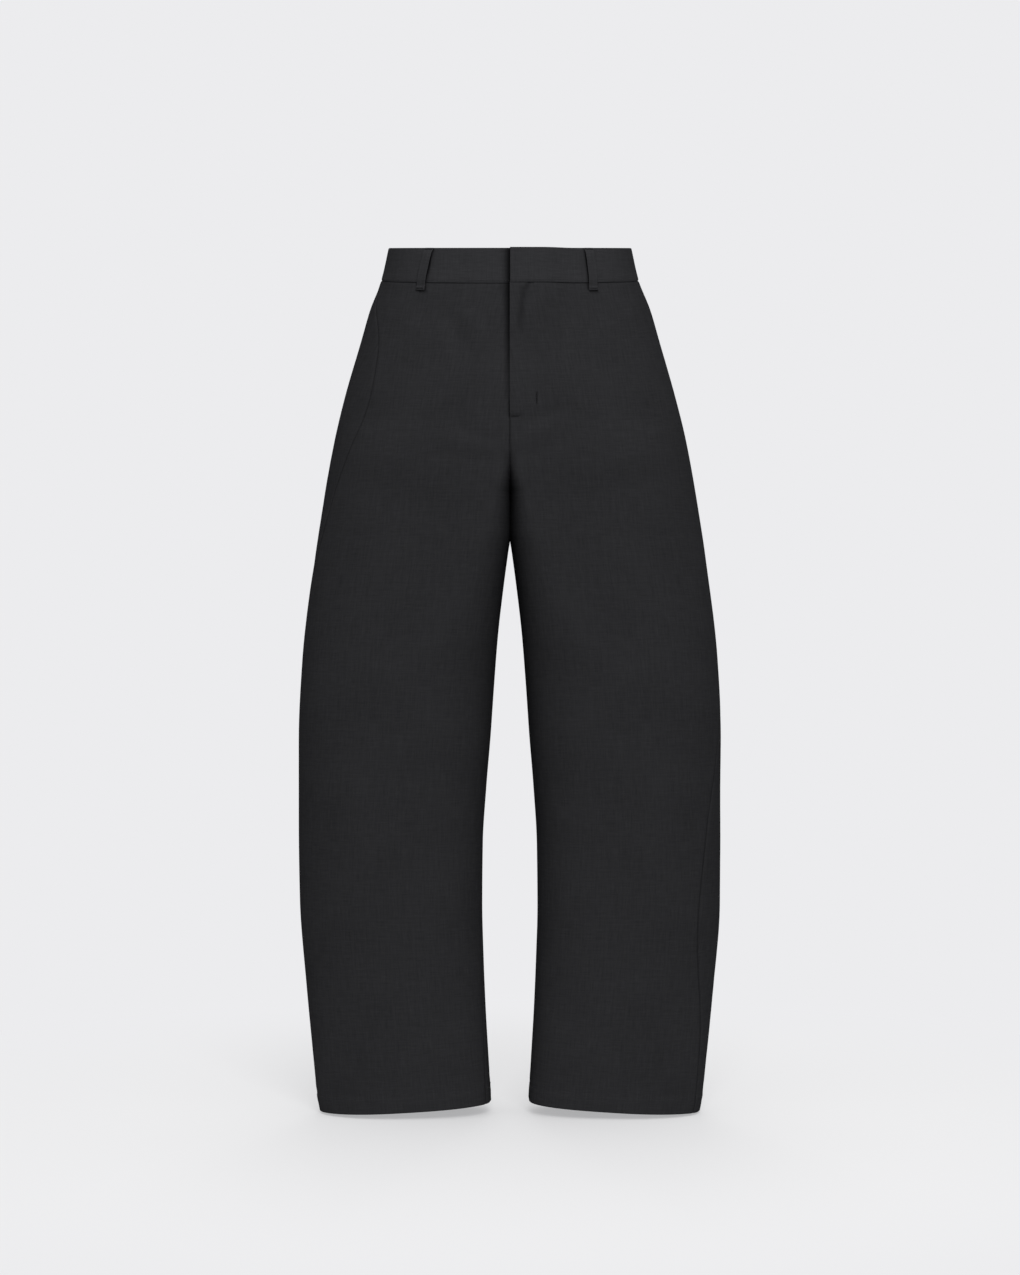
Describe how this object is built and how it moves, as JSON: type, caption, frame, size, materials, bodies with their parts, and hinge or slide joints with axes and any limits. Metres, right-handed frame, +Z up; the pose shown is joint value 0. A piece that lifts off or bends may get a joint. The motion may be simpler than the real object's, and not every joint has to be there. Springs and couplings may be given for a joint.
{
  "type": "barrel leg trousers",
  "caption": "Barrel leg trousers, hollow and filled out, hanging from a plain waistband with belt loops, a concealed closure and a zip fly.",
  "frame": {"origin": "middle of the waistband on the centre plane, level with the band's mid height at the sides, where the wearer's waist holds the garment", "axes": "+Z up out of the waist opening, -Y the way the front faces, +X the wearer's left"},
  "size_m": [0.5013, 0.2464, 1.0441],
  "materials": {
    "cloth": "matt plain-woven cotton, near black",
    "zip": "matt black zip tape",
    "steel": "satin"
  },
  "bodies": {
    "root": {"front_right": "cloth", "front_left": "cloth", "back_right": "cloth", "back_left": "cloth", "waistband_right": "cloth", "waistband_left": "cloth", "loop_front_right": "cloth", "loop_front_left": "cloth", "loop_back_right": "cloth", "loop_back_left": "cloth", "loop_centre_back": "cloth", "zip": "zip", "waist_hook": "steel", "waist_bar": "steel"}
  },
  "joints": []
}
